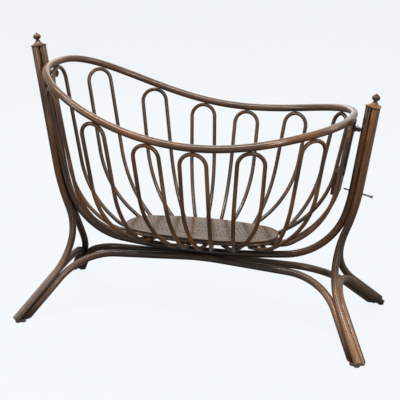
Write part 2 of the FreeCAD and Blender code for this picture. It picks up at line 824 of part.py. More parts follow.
split_solids = []
for end, end_name in ((-1, "head"), (1, "foot")):
    inward = swing * -end
    base = pivot_base[end]
    behind = size("pivot_in_post")
    reach = pivot_reach[end] + size("boss_in") + 0.6
    radius = pivot / 2
    head = size("pivot_head_dia") / 2
    thick = size("pivot_head_thick")
    stem = behind + reach
    profile = [(0, 0), (radius - 0.8, 0), (radius, 0.8), (radius, stem), (head, stem),
               (head, stem + thick - 0.8), (head - 0.8, stem + thick), (0, stem + thick)]
    start = base - inward * behind
    pin_body = turned("pivot_pin_" + end_name, profile, start, inward)
    wire = size("split_pin_wire")
    at = base + inward * size("split_pin_at")
    upright = unit(UP - inward * UP.dot(inward))
    hole = drill("split_hole_" + end_name, "Sizes.split_pin_wire / 2 + 2 * Sizes.seat_gap",
                 at - upright * pivot, upright, 2 * pivot)
    pin = doc.addObject("Part::Cut", "pivot_pin_" + end_name)
    pin.Base = pin_body
    pin.Tool = hole
    pieces["pivot_pin_" + end_name] = pin
    eye = size("split_pin_eye") / 2
    leg = Part.makeCylinder(wire / 2, 2 * radius + 4.5, at - upright * (radius + 3), upright)
    ring = Part.makeTorus(eye, wire / 2, at + upright * (radius + 1.5 + eye), inward)
    split_solids.append(leg.fuse(ring))

    spacer_body = doc.addObject("PartDesign::Body", "pivot_spacer_%s_body" % end_name)
    ring_sketch = sketch_on(spacer_body, "XY_Plane", "pivot_spacer_%s_ring" % end_name)
    ring_sketch.addGeometry(Part.Circle(vec(0, 0, 0), UP, size("spacer_dia") / 2))
    ring_sketch.addGeometry(Part.Circle(vec(0, 0, 0), UP, radius + size("seat_gap")))
    ring_sketch.addConstraint(Sketcher.Constraint("Radius", 0, size("spacer_dia") / 2))
    ring_sketch.setExpression("Constraints[0]", "Sizes.spacer_dia / 2")
    ring_sketch.addConstraint(Sketcher.Constraint("Radius", 1, radius + size("seat_gap")))
    ring_sketch.setExpression("Constraints[1]", "Sizes.pivot_dia / 2 + Sizes.seat_gap")
    tube = spacer_body.newObject("PartDesign::Pad", "pivot_spacer_%s_tube" % end_name)
    tube.Profile = ring_sketch
    tube.setExpression("Length", "Sizes.spacer_length")
    spacer_base = base + inward * size("spacer_from")
    spacer_body.Placement = FreeCAD.Placement(spacer_base, FreeCAD.Rotation(UP, inward))
    pieces["pivot_spacer_" + end_name] = spacer_body
keep("split_pins", Part.makeCompound(split_solids))


# Catch block between the legs of the foot end hairpin, and the lock pin through the foot post

top, apex, down = end_pins[1]
outward = unit(ACROSS.cross(down))
if outward.x < 0:
    outward = outward * -1
block_half = size("pin_width") / 2 - pin_rod / 2 - size("rod_gap")
block_body = doc.addObject("PartDesign::Body", "catch_block_body")
block_sketch = sketch_on(block_body, "XY_Plane", "catch_block_outline")
outline(block_sketch, [(-block_half, size("block_from")), (block_half, size("block_from")),
                       (block_half, size("block_to")), (-block_half, size("block_to"))])
block_pad = block_body.newObject("PartDesign::Pad", "catch_block_blank")
block_pad.Profile = block_sketch
block_pad.setExpression("Length", "Sizes.block_thick")
block_face = strap_lift - size("seat_gap") - size("block_thick")
block_body.Placement = FreeCAD.Placement(apex + outward * block_face,
                                         FreeCAD.Rotation(down.cross(outward), down, outward, "ZYX"))
block_mid = apex + outward * (block_face + size("block_thick") / 2)
to_block = (lock_at - block_mid).dot(outward) / lock_out.dot(outward)
socket = drill("socket_drill", "Sizes.socket_dia / 2", lock_at - lock_out * (to_block + size("block_thick")),
               lock_out, 2 * size("block_thick"))
block = doc.addObject("Part::Cut", "catch_block")
block.Base = block_body
block.Tool = socket
pieces["catch_block"] = block

radius = size("lock_dia") / 2
knob = size("lock_head_dia") / 2
length = size("lock_tip") + size("lock_reach_out")
collar = knob * 0.72
neck = radius + 0.6
profile = [(0, 0), (1.2, 0), (radius, 4), (radius, length - 9), (collar, length - 8), (collar, length - 6.5),
           (neck, length - 5), (neck, length - 3.4), (knob, length - 2.4), (knob, length - 0.8),
           (knob - 0.8, length), (0, length)]
pieces["lock_pin"] = turned("lock_pin", profile, lock_at - lock_out * size("lock_tip"), lock_out)

doc.recompute()

for item in doc.Objects:
    if "Invalid" in item.State or "Error" in item.State:
        raise RuntimeError("%s: %s" % (item.Name, item.State))
os.makedirs("parts", exist_ok=True)
for name, piece in pieces.items():
    shape = piece.Shape
    if shape.isNull() or not shape.isValid():
        raise RuntimeError("bad shape: " + name)
    shape.exportStep("parts/%s.step" % name)
print(len(pieces), "pieces")
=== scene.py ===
import bpy
import bmesh
import math
import numpy as np
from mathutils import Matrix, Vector


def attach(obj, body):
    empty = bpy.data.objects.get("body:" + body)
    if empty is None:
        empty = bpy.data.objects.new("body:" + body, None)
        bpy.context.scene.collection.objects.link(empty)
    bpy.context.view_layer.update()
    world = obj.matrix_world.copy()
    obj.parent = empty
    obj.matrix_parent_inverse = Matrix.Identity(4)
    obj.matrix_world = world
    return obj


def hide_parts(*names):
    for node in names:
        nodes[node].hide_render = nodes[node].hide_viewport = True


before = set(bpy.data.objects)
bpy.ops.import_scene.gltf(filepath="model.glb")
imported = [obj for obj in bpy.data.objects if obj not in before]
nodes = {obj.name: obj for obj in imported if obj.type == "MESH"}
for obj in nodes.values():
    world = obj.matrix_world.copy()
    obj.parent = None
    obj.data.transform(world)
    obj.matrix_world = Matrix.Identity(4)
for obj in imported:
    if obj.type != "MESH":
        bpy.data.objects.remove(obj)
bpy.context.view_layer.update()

# Bow: one beech rod, steamed and bent into a wide U. Its two arms lean outwards as the posts.
# It is round all along, stained dark and varnished, and bored for the pivots and the lock pin.

ROD = 0.024
ROD_GAP = 0.0003
SPACING = ROD + ROD_GAP
NEST = SPACING * math.sqrt(3) / 2
LEAN = math.radians(8.3)
POST_BASE_X = 0.4275
POST_TOP = {1: 0.7555, -1: 0.896}
BOW_LOW = 0.2247
SAG_RADIUS = 2.347
CORNER_RADIUS = 0.231
UPPER_RADIUS = 0.676
STRAIGHT_Z = 0.495
STEP = 0.006


def vec(x, y, z):
    return np.array([x, y, z], float)


def unit(v):
    return v / np.linalg.norm(v)


def mirrored(p, end, side):
    return p * [end, side, 1]


def bow_x(z):
    return POST_BASE_X + math.tan(LEAN) * z


def post_point(end, z, out=0.0, y=0.0):
    """Point of a post, out square to its length; end is 1 at the foot end and -1 at the head."""
    return vec(end * (bow_x(z) + out * math.cos(LEAN)), y, z - out * math.sin(LEAN))


def round_stretch(centre, radius, start, stop, end=1, y=0.0):
    """Points of an arc in an upright plane along the cradle."""
    x, z = centre
    count = max(4, int(abs(stop - start) * radius / STEP))
    return [vec(end * (x + radius * math.cos(a)), y, z + radius * math.sin(a))
            for a in np.linspace(start, stop, count)]


# The tight corner touches the sagging middle and the upper bend from inside, so its centre is
# where two circles round their centres cross.
sag_centre = np.array([0.0, BOW_LOW + SAG_RADIUS])
upper_centre = np.array([bow_x(STRAIGHT_Z) - UPPER_RADIUS * math.cos(LEAN),
                         STRAIGHT_Z + UPPER_RADIUS * math.sin(LEAN)])
sag_gap = SAG_RADIUS - CORNER_RADIUS
upper_gap = UPPER_RADIUS - CORNER_RADIUS
between = upper_centre - sag_centre
reach = np.linalg.norm(between)
along = (sag_gap ** 2 - upper_gap ** 2 + reach ** 2) / (2 * reach)
aside = math.sqrt(sag_gap ** 2 - along ** 2)
corner_centre = sag_centre + (along * between + aside * np.array([-between[1], between[0]])) / reach
sag_end = math.atan2(*(corner_centre - sag_centre)[::-1])
corner_end = math.atan2(*(corner_centre - upper_centre)[::-1])


def bow_half(end):
    line = round_stretch(sag_centre, SAG_RADIUS, -math.pi / 2, sag_end, end)
    line += round_stretch(corner_centre, CORNER_RADIUS, sag_end, corner_end, end)[1:]
    line += round_stretch(upper_centre, UPPER_RADIUS, corner_end, -LEAN, end)[1:]
    return line + [post_point(end, POST_TOP[end])]


class Wire:
    """One socket of a node tree; arithmetic with it adds Math nodes to that tree."""

    def __init__(self, tree, socket=None):
        self.tree = tree
        self.socket = socket

    def node(self, kind, settings=None, inputs=None, out=0):
        """New node; its inputs are wires or plain values, and out is the output to go on from."""
        made = self.tree.nodes.new(kind)
        for key, value in (settings or {}).items():
            setattr(made, key, value)
        for key, value in (inputs or {}).items():
            if isinstance(value, Wire):
                self.tree.links.new(value.socket, made.inputs[key])
            else:
                made.inputs[key].default_value = value
        return Wire(self.tree, made.outputs[out] if made.outputs else None)

    def out(self, name):
        """Another output of the same node."""
        return Wire(self.tree, self.socket.node.outputs[name])

    def math(self, operation, a, b=0.0):
        return self.node("ShaderNodeMath", {"operation": operation}, {0: a, 1: b})

    def __add__(self, other):
        return self.math("ADD", self, other)

    def __sub__(self, other):
        return self.math("SUBTRACT", self, other)

    def __rsub__(self, other):
        return self.math("SUBTRACT", other, self)

    def __mul__(self, other):
        return self.math("MULTIPLY", self, other)

    __radd__ = __add__
    __rmul__ = __mul__

    def between(self, low, high):
        """0 below low, 1 above high and smooth in between."""
        return self.node("ShaderNodeMapRange", {"interpolation_type": "SMOOTHSTEP"},
                         {"Value": self, "From Min": low, "From Max": high})

    def mix(self, a, b):
        """Colour a where this is 0 and b where it is 1."""
        return self.node("ShaderNodeMix", {"data_type": "RGBA"}, {0: self, 6: a, 7: b}, out=2)

    def spot(self):
        """Place on the piece, in metres from its origin."""
        return self.node("ShaderNodeTexCoord", out="Object")

    def parts(self, vector):
        """X of a vector, with Y and Z as its other outputs."""
        return self.node("ShaderNodeSeparateXYZ", inputs={0: vector})

    def facing_up(self):
        """1 where the surface looks straight up and -1 where it looks down."""
        return self.parts(self.node("ShaderNodeNewGeometry", out="Normal")).out("Z")

    def stretched(self, vector, factors):
        return self.node("ShaderNodeVectorMath", {"operation": "MULTIPLY"}, {0: vector, 1: factors})

    def noise(self, vector, scale, detail, low, high, rough=0.5):
        """Cloudy marks: 0 where the noise is below low and 1 where it is above high."""
        made = self.node("ShaderNodeTexNoise", inputs={"Vector": vector, "Scale": scale, "Detail": detail,
                                                       "Roughness": rough})
        return made.between(low, high)


def colour(red, green, blue):
    """Colour written as it looks on a screen, as the shader needs it."""
    shares = [((c / 255 + 0.055) / 1.055) ** 2.4 if c > 10 else c / 3294.6 for c in (red, green, blue)]
    return (*shares, 1.0)


def new_material(name):
    made = bpy.data.materials.new(name)
    made.use_nodes = True
    made.node_tree.nodes.clear()
    return made, Wire(made.node_tree)


def finish_material(made, wire, base, roughness, bump=None, depth=0.0002, **others):
    """Shader of a material; others are more of its inputs, with underscores for spaces."""
    inputs = {"Base Color": base, "Roughness": roughness}
    for key, value in others.items():
        inputs[key.replace("_", " ")] = value
    shader = wire.node("ShaderNodeBsdfPrincipled", inputs=inputs)
    if bump is not None:
        raised = wire.node("ShaderNodeBump", inputs={"Height": bump, "Distance": depth, "Strength": 0.6})
        wire.tree.links.new(raised.socket, shader.socket.node.inputs["Normal"])
    wire.node("ShaderNodeOutputMaterial", inputs={"Surface": shader})
    return made


def bentwood(name, dark, brown, warm, dust_and_sheen, dust_and_sheen_tone, shine, pale_from=9.0, dim_below=-9.0):
    """Stained beech: streaks run along the rod, worn stretches are warmer, and tops are dusty with a painted
    sheen.

    Tops beyond pale_from along the cradle are paler, and wood near dim_below and lower is painted dark as
    shade.
    The middle under the board and the back feet are painted dark as shade; the front feet are paler with
    dust and painted light, and most feet carry a painted highlight along their upper ridge.
    Varnish of the strength shine lies over the stain and is worn off underneath."""
    made, wire = new_material(name)
    grain = wire.node("ShaderNodeAttribute", {"attribute_name": "grain"}, out="Vector")
    ends = wire.node("ShaderNodeAttribute", {"attribute_name": "end_grain"}, out="Fac")

    def marks(across, lengthwise, detail, low, high):
        along_grain = wire.stretched(grain, (across, across, lengthwise))
        return wire.noise(along_grain, 1.0, detail, low, high, rough=0.55)

    streak = marks(420, 7, 3.0, 0.3, 0.72)
    fine = marks(1500, 30, 2.0, 0.35, 0.7)
    patch = marks(45, 6, 2.0, 0.42, 0.66)
    speck = marks(520, 420, 1.0, 0.7, 0.78)
    grime = marks(70, 12, 3.0, 0.5, 0.72)

    facing = wire.facing_up()
    upper = facing.between(0.25, 0.95)
    painted_ridge_highlight = facing.between(0.4, 0.76)
    glazed = 0.25 + facing.between(-0.45, 0.15) * 0.75

    x = wire.parts(wire.spot())
    y = x.out("Y")
    z = x.out("Z")
    low = 1.0 - z.between(0.06, 0.27)
    high = z.between(0.72, 0.9)
    front = 1.0 - y.between(-0.08, 0.04)
    footward = x.between(-0.2, 0.2)
    back_feet = low * (1.0 - front)
    middle = 1.0 - wire.math("ABSOLUTE", x).between(0.22, 0.42)
    under = middle * (1.0 - z.between(0.235, 0.265))
    outward = x - z * math.tan(LEAN)
    handled = outward.between(POST_BASE_X + 0.007, POST_BASE_X + 0.013) * z.between(0.3, 0.5)
    pale_end_top = x.between(pale_from, pale_from + 0.1) * upper
    dim = 1.0 - z.between(dim_below, dim_below + 0.1)

    feet_dust_and_highlight = footward.mix(colour(154, 137, 120), colour(188, 141, 100))
    back_feet_painted_shade_and_highlight = footward.mix(colour(18, 15, 12), painted_ridge_highlight.mix(colour(112, 99, 85), colour(176, 160, 140)))
    sawn = fine.mix(colour(112, 96, 78), colour(166, 152, 130))

    tone = (streak * 0.7 + fine * 0.3).mix(dark, brown)
    tone = ((0.2 + patch * 0.8) * (0.45 + streak * 0.4) * (0.4 + front * 0.6)).mix(tone, warm)
    tone = (handled * (0.15 + streak * 0.45)).mix(tone, colour(134, 88, 48))
    # Dust on the tops, which also stands in for a painted sheen from the light above.
    tone = (upper * (0.3 + grime * 0.7) * dust_and_sheen).mix(tone, dust_and_sheen_tone)
    # Tops beyond pale_from are made paler.
    tone = (pale_end_top * (0.35 + grime * 0.5)).mix(tone, colour(200, 193, 182))
    tone = (high * streak * 0.5).mix(tone, colour(164, 130, 102))
    # Dust, wear and painted light: the low front feet are paler, grey at the head end and orange at the foot
    # end, with a painted highlight along their upper ridge.
    tone = (low * front * (1.0 - under) * (streak * 0.4 + painted_ridge_highlight * 0.45)).mix(tone, feet_dust_and_highlight)
    # Painted shade: the bow and rails in the middle, under the board, are darkened as if in its shadow.
    tone = (under * 0.6).mix(tone, colour(24, 18, 13))
    # Painted shade: the back feet are darkened, near black at the head end; at the foot end they keep a
    # painted highlight on their ridge.
    tone = (back_feet * 0.75).mix(tone, back_feet_painted_shade_and_highlight)
    # Painted shade: wood at dim_below and lower is darkened, as in the shade under the board.
    tone = (dim * 0.75).mix(tone, colour(30, 21, 15))
    tone = (speck * 0.4).mix(tone, colour(176, 142, 108))
    tone = ends.mix(tone, sawn)

    gloss = 0.3 + streak * 0.1 + upper * grime * 0.2 + back_feet * 0.4
    varnish = (0.75 + streak * 0.5) * shine * (1.0 - back_feet) * (1.0 + low * front * 0.5) * (1.0 - ends)
    return finish_material(made, wire, tone, gloss, streak * 0.6 + fine * 0.4, depth=0.00008,
                           Coat_Weight=varnish * glazed, Coat_Roughness=0.2, Coat_IOR=2.2,
                           Specular_IOR_Level=0.02)


dark_rod_wood = bentwood("dark_rod_wood", colour(20, 13, 7), colour(65, 42, 23), colour(126, 77, 33),
                         dust_and_sheen=0.5, dust_and_sheen_tone=colour(140, 113, 88), shine=0.17)


def new_tree(name, inputs, output):
    """Geometry node tree with inputs, each a name and a kind, and one geometry that comes out."""
    tree = bpy.data.node_groups.new(name, "GeometryNodeTree")
    for label, kind in inputs:
        tree.interface.new_socket(label, in_out="INPUT", socket_type="NodeSocket" + kind)
    tree.interface.new_socket(output, in_out="OUTPUT", socket_type="NodeSocketGeometry")
    wire = Wire(tree)
    return tree, wire, wire.node("NodeGroupInput")


def rod_tree():
    """Round rod swept along a curve, with its grain direction kept as an attribute."""
    inputs = (("Centre line", "Geometry"), ("Radius", "Float"), ("Sides", "Int"), ("Grain start", "Float"),
              ("Wood", "Material"))
    tree, wire, given = new_tree("bent_rod", inputs, "Rod")

    def stored(geometry, name, kind, value, domain="POINT"):
        return wire.node("GeometryNodeStoreNamedAttribute", {"data_type": kind, "domain": domain},
                         {"Geometry": geometry, "Name": name, "Value": value})

    def recalled(name, kind):
        return wire.node("GeometryNodeInputNamedAttribute", {"data_type": kind}, {"Name": name})

    run = wire.node("GeometryNodeSplineParameter", out="Length") + given.out("Grain start")
    line = stored(given, "run", "FLOAT", run)
    ring = wire.node("GeometryNodeCurvePrimitiveCircle",
                     inputs={"Resolution": given.out("Sides"), "Radius": given.out("Radius")})
    ring = stored(ring, "ring", "FLOAT_VECTOR", wire.node("GeometryNodeInputPosition"))
    skin = wire.node("GeometryNodeCurveToMesh",
                     inputs={"Curve": line, "Profile Curve": ring, "Fill Caps": True,
                             "Scale": wire.node("GeometryNodeInputRadius")})
    across = wire.parts(recalled("ring", "FLOAT_VECTOR"))
    grain = wire.node("ShaderNodeCombineXYZ",
                      inputs={0: across, 1: across.out("Y"), 2: recalled("run", "FLOAT")})
    skin = stored(skin, "grain", "FLOAT_VECTOR", grain)
    corners = wire.node("GeometryNodeInputMeshFaceNeighbors")
    cut = wire.node("FunctionNodeCompare", {"data_type": "INT", "operation": "GREATER_THAN"},
                    {2: corners, 3: 4})
    skin = stored(skin, "end_grain", "FLOAT", cut, domain="FACE")
    smooth = wire.node("FunctionNodeBooleanMath", {"operation": "NOT"}, {0: cut})
    skin = wire.node("GeometryNodeSetShadeSmooth", inputs={"Geometry": skin, "Shade Smooth": smooth})
    skin = wire.node("GeometryNodeRealizeInstances", inputs={0: skin})
    skin = wire.node("GeometryNodeSetMaterial", inputs={"Geometry": skin, "Material": given.out("Wood")})
    wire.node("NodeGroupOutput", inputs={0: skin})
    return tree


def placed(name, data):
    """Object of that name in the scene."""
    made = bpy.data.objects.new(name, data)
    bpy.context.scene.collection.objects.link(made)
    return made


def grown(tree, name, source, inputs):
    """Plain mesh object that a node tree makes of a source object, which is removed."""
    modifier = source.modifiers.new("shape", "NODES")
    modifier.node_group = tree
    for item in tree.interface.items_tree:
        if item.in_out == "INPUT" and item.name in inputs:
            modifier[item.identifier] = inputs[item.name]
    bpy.context.view_layer.update()
    ready = source.evaluated_get(bpy.context.evaluated_depsgraph_get())
    mesh = bpy.data.meshes.new_from_object(ready)
    bpy.data.objects.remove(source)
    mesh.name = name
    return placed(name, mesh)


ROD_SIDES = 28
GRAIN_STEP = 3.7
END_ROUND = 0.0022
END_EASE = ((0.0, 0.86), (0.4, 0.955), (1.0, 1.0))
bend = rod_tree()
rods_made = []


def eased_ends(line):
    """Centre line with more points at its ends, and each point's share of the rod's radius."""
    shares = [share for far, share in END_EASE]
    start_way = unit(line[1] - line[0])
    stop_way = unit(line[-2] - line[-1])
    start = [line[0] + start_way * END_ROUND * far for far, share in END_EASE]
    stop = [line[-1] + stop_way * END_ROUND * far for far, share in END_EASE]
    return start + line[1:-1] + stop[::-1], shares + [1.0] * (len(line) - 2) + shares[::-1]


def cut_level(mesh, height):
    """Cut off what lies below a height and close the cut."""
    shape = bmesh.new()
    shape.from_mesh(mesh)
    every = shape.verts[:] + shape.edges[:] + shape.faces[:]
    cut = bmesh.ops.bisect_plane(shape, geom=every, plane_co=(0, 0, height), plane_no=(0, 0, 1),
                                 clear_inner=True)
    loose = [e for e in cut["geom_cut"] if isinstance(e, bmesh.types.BMEdge) and e.is_boundary]
    bmesh.ops.holes_fill(shape, edges=loose)
    shape.to_mesh(mesh)
    shape.free()


def bent_rod(node, line, dia, wood, body, closed=False, floor=None):
    """Rod along a centre line in place of a solid; its square ends are eased, and floor cuts it level."""
    name = node + "_rod"
    shares = [1.0] * len(line)
    if not closed:
        line, shares = eased_ends(line)
    curve = bpy.data.curves.new(name + "_line", "CURVE")
    curve.dimensions = "3D"
    curve.twist_mode = "MINIMUM"
    spline = curve.splines.new("POLY")
    spline.points.add(len(line) - 1)
    spline.use_cyclic_u = closed
    for point, place, share in zip(spline.points, line, shares):
        point.co = (*place, 1.0)
        point.radius = share
    made = grown(bend, name, placed(name + "_line", curve),
                 {"Radius": dia / 2, "Sides": ROD_SIDES, "Grain start": GRAIN_STEP * len(rods_made),
                  "Wood": wood})
    if floor is not None:
        cut_level(made.data, floor)
    rods_made.append(made)
    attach(made, body)
    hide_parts(node)


bent_rod("bow", bow_half(-1)[::-1] + bow_half(1)[1:], ROD, dark_rod_wood, "stand")


# Legs: four rods that lie in the groove outside each post and bend away to the feet.
# They are screwed to the bow, and each is cut square at its end and level under the foot.

ENDS = ((-1, "head"), (1, "foot"))
SIDES = ((-1, "front"), (1, "back"))
FOOT_X = POST_BASE_X + 0.1548
FOOT_Y = 0.2796
FOOT_SLOPE = math.radians(37.31)
FOOT_TURN = math.radians(57.76)
FOOT_END_Z = 0.0095
FLOOR_CUT = 0.0091
LEAVE_Z = 0.342
KNEE_Z = 0.126

foot_dir = vec(math.cos(FOOT_SLOPE) * math.cos(FOOT_TURN), math.cos(FOOT_SLOPE) * math.sin(FOOT_TURN),
               -math.sin(FOOT_SLOPE))
foot_level = unit(np.cross([0, 0, 1], foot_dir))
foot_below = unit(np.cross(foot_level, foot_dir))
foot_below = foot_below if foot_below[2] < 0 else -foot_below


def foot_line(side_deg=None):
    """Where the middle of a foot rod meets the floor; the leg itself has no side angle."""
    base = vec(FOOT_X, FOOT_Y, 0)
    if side_deg is None:
        return base
    angle = math.radians(side_deg)
    return base + (foot_level * math.cos(angle) + foot_below * math.sin(angle)) * SPACING


def on_foot_line(base, z):
    return base + foot_dir * (z / foot_dir[2])


def corner_arc(start, corner, end):
    """Points of the arc from start to end that touches both sides of the corner."""
    u, w = unit(start - corner), unit(end - corner)
    half = math.acos(max(-1.0, min(1.0, u @ w))) / 2
    length = np.linalg.norm(start - corner)
    centre = corner + unit(u + w) * length / math.cos(half)
    radius = length * math.tan(half)
    first = unit(start - centre)
    second = unit((end - centre) - first * ((end - centre) @ first))
    sweep = math.pi - 2 * half
    angles = np.linspace(0, sweep, max(4, int(sweep * radius / STEP)))
    return [centre + (first * math.cos(a) + second * math.sin(a)) * radius for a in angles]


def two_arcs(p0, t0, p1, t1):
    """Points of the two arcs that leave p0 along t0 and reach p1 along t1."""
    v, t = p1 - p0, t0 + t1
    a, b, c = 2 * (1 - t0 @ t1), 2 * (v @ t), v @ v
    d = c / b if a < 1e-9 else (-b + math.sqrt(b * b + 4 * a * c)) / (2 * a)
    q0, q1 = p0 + t0 * d, p1 - t1 * d
    middle = (q0 + q1) / 2
    return corner_arc(p0, q0, middle) + corner_arc(middle, q1, p1)[1:]


outer = UPPER_RADIUS + NEST
leave = math.asin((LEAVE_Z - upper_centre[1]) / outer)
for end, end_name in ENDS:
    for side, side_name in SIDES:
        y = side * SPACING / 2
        line = [post_point(end, POST_TOP[end], NEST, y)]
        line += round_stretch(upper_centre, outer, -LEAN, leave, end, y)
        heading = vec(end * math.sin(leave), 0, -math.cos(leave))
        knee = mirrored(on_foot_line(foot_line(), KNEE_Z), end, side)
        line += two_arcs(line[-1], heading, knee, mirrored(foot_dir, end, side))[1:]
        line.append(mirrored(on_foot_line(foot_line(), FOOT_END_Z), end, side))
        bent_rod("leg_%s_%s" % (end_name, side_name), line, ROD, dark_rod_wood, "stand",
                 floor=FLOOR_CUT)


# Rails and end arches: the two rails lie under the bow and spread to the front and back feet.
# An arch at each end ties its front foot to its back foot, so three rods meet at every foot.
# They are bent beech rods like the bow, stained and varnished, and screwed to their neighbours.

RAIL_SIDE_DEG = 72.8
RAIL_FLAT_HALF = 0.0317
RAIL_KNEE_Z = 0.2078
RAIL_FLARE_RADIUS = 0.7
RAIL_KNEE_RADIUS = 0.211
ARCH_SIDE_DEG = 146.3
ARCH_CROWN_Z = 0.176
ARCH_FLAT_HALF = 0.001


def rounded(points, reaches):
    """Run of lines through the points whose inner corners are rounded over their reaches."""
    line = [points[0]]
    for before, corner, after, reach in zip(points, points[1:], points[2:], reaches):
        start = corner + unit(before - corner) * reach
        stop = corner + unit(after - corner) * reach
        line += corner_arc(start, corner, stop)
    return line + [points[-1]]


def reach_for(radius, before, corner, after):
    """How far from a corner an arc of that radius begins."""
    return radius / math.tan(math.acos(unit(before - corner) @ unit(after - corner)) / 2)


for side, side_name in SIDES:
    base = foot_line(RAIL_SIDE_DEG)
    flat = vec(RAIL_FLAT_HALF, SPACING / 2, BOW_LOW - NEST)
    knee = on_foot_line(base, RAIL_KNEE_Z)
    tip = on_foot_line(base, FOOT_END_Z)
    flare = reach_for(RAIL_FLARE_RADIUS, flat * [0, 1, 1], flat, knee)
    turn = reach_for(RAIL_KNEE_RADIUS, flat, knee, base)
    points = [mirrored(p, -1, side) for p in (tip, knee, flat)]
    points += [mirrored(p, 1, side) for p in (flat, knee, tip)]
    bent_rod("rail_" + side_name, rounded(points, [turn, flare, flare, turn]), ROD, dark_rod_wood,
             "stand", floor=FLOOR_CUT)

for end, end_name in ENDS:
    base = foot_line(ARCH_SIDE_DEG)
    crown = on_foot_line(base, ARCH_CROWN_Z)
    tip = on_foot_line(base, FOOT_END_Z)
    points = [mirrored(p, end, -1) for p in (tip, crown)]
    points += [mirrored(p, end, 1) for p in (crown, tip)]
    bent_rod("end_arch_" + end_name, rounded(points, [crown[1] - ARCH_FLAT_HALF] * 2), ROD, dark_rod_wood,
             "stand", floor=FLOOR_CUT)


# Glides: small dark pads of hard rubber, nailed under the rod ends where they meet the floor.
# They are worn; the pads at the front are grey with dust and painted paler as lit, and those at the back are
# painted dark as shade.


def dress(name, material):
    """Give a solid that is shown as it is a material."""
    nodes[name].data.materials.clear()
    nodes[name].data.materials.append(material)


glide_pad, wire = new_material("glide_pad")
spot = wire.spot()
wear = wire.noise(spot, 260.0, 3.0, 0.4, 0.7)
# Painted light and shade: pads at the front are paler, as lit and dusty, and those at the back are dark, as
# in shade.
back_painted_shade = wire.parts(spot).out("Y").between(-0.1, 0.1)
front_dust_and_light_tone = wear.mix(colour(78, 70, 60), colour(146, 132, 112))
back_painted_shade_tone = wear.mix(colour(24, 21, 19), colour(52, 46, 40))
finish_material(glide_pad, wire, back_painted_shade.mix(front_dust_and_light_tone, back_painted_shade_tone), 0.7 + wear * 0.2, wear,
                Specular_IOR_Level=0.1)
dress("glides", glide_pad)


# Post caps and finials: turned beech, a low three-lobed cap over the rod ends with a ball on it.
# The cap is glued on the end grain, and the ball, drawn up to a small tip, is let into it by its neck.

FINIAL_PROFILE = ((0.0, 0.0), (6.0, 0.0), (5.7, 1.6), (5.3, 3.2), (5.9, 3.9), (8.2, 4.8), (10.6, 6.6),
                  (12.4, 9.2), (13.0, 12.0), (12.6, 14.9), (11.3, 17.7), (9.2, 20.2), (6.6, 22.2),
                  (4.2, 23.7), (2.6, 24.9), (1.7, 26.0), (0.9, 26.8), (0.0, 27.0))
FINIAL_SIDES = 36
FOOT_CAP_TOP = (0.772, 0.778)

turned_wood, wire = new_material("turned_wood")
spot = wire.spot()
place = wire.parts(spot)
figure = wire.noise(wire.stretched(spot, (500, 500, 120)), 1.0, 4.0, 0.3, 0.72)
ochre = place.out("Z").between(*FOOT_CAP_TOP).mix(colour(176, 122, 70), colour(118, 78, 58))
worn = place.between(-0.3, 0.3).mix(colour(146, 124, 102), ochre)
tone = figure.mix(colour(38, 24, 16), colour(96, 62, 38))
tone = (wire.facing_up().between(0.1, 0.85) * (0.25 + figure * 0.5)).mix(tone, worn)
finish_material(turned_wood, wire, tone, 0.3 + figure * 0.12, figure, Coat_Weight=0.3 + figure * 0.25,
                Coat_Roughness=0.18, Specular_IOR_Level=0.02)
for name in ("post_cap_head", "post_cap_foot"):
    dress(name, turned_wood)


def ring_faces(rings, count):
    """Faces between rings of count points each, numbered ring by ring."""
    faces = []
    for ring in range(rings - 1):
        a, b = ring * count, (ring + 1) * count
        for i in range(count):
            j = (i + 1) % count
            faces.append((a + i, a + j, b + j, b + i))
    return faces


def solid_object(name, places, faces):
    """Object of points and faces, with its faces turned outwards."""
    mesh = bpy.data.meshes.new(name)
    mesh.from_pydata([tuple(p) for p in places], [], faces)
    shape = bmesh.new()
    shape.from_mesh(mesh)
    bmesh.ops.recalc_face_normals(shape, faces=shape.faces)
    shape.to_mesh(mesh)
    shape.free()
    return placed(name, mesh)


def turned_piece(name, profile, foot, way, wood):
    """Lathe work: radii and heights in millimetres, turned round a line from foot along way."""
    aside = unit(np.cross([0, 1, 0], way))
    across = np.cross(way, aside)
    places = []
    for radius, height in profile[1:-1]:
        for i in range(FINIAL_SIDES):
            angle = 2 * math.pi * i / FINIAL_SIDES
            rim = (aside * math.cos(angle) + across * math.sin(angle)) * radius
            places.append(foot + (rim + way * height) / 1000)
    places += [foot, foot + way * profile[-1][1] / 1000]
    rings = len(profile) - 2
    faces = ring_faces(rings, FINIAL_SIDES)
    last = (rings - 1) * FINIAL_SIDES
    for i in range(FINIAL_SIDES):
        j = (i + 1) % FINIAL_SIDES
        faces += [(j, i, len(places) - 2), (last + i, last + j, len(places) - 1)]
    made = solid_object(name, places, faces)
    made.data.materials.append(wood)
    made.data.polygons.foreach_set("use_smooth", [True] * len(faces))
    return made


for end, end_name in ENDS:
    blank = nodes["finial_" + end_name]
    corners = np.array([v.co for v in blank.data.vertices])
    way = vec(end * math.sin(LEAN), 0, math.cos(LEAN))
    aside = vec(math.cos(LEAN), 0, -end * math.sin(LEAN))
    middle = ((corners @ aside).min() + (corners @ aside).max()) / 2
    foot = aside * middle + way * (corners @ way).min()
    finial = turned_piece("finial_%s_ball" % end_name, FINIAL_PROFILE, foot, way, turned_wood)
    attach(finial, "stand")
    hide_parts(blank.name)


# Pivots: an iron pin in each post, a short tube between post and strap, and a split pin with an eye.
# The iron strap screwed to each end hairpin hangs on the pin.
# The iron is black with rubbed spots and browned by rust at the head end; the split pins are steel wire.

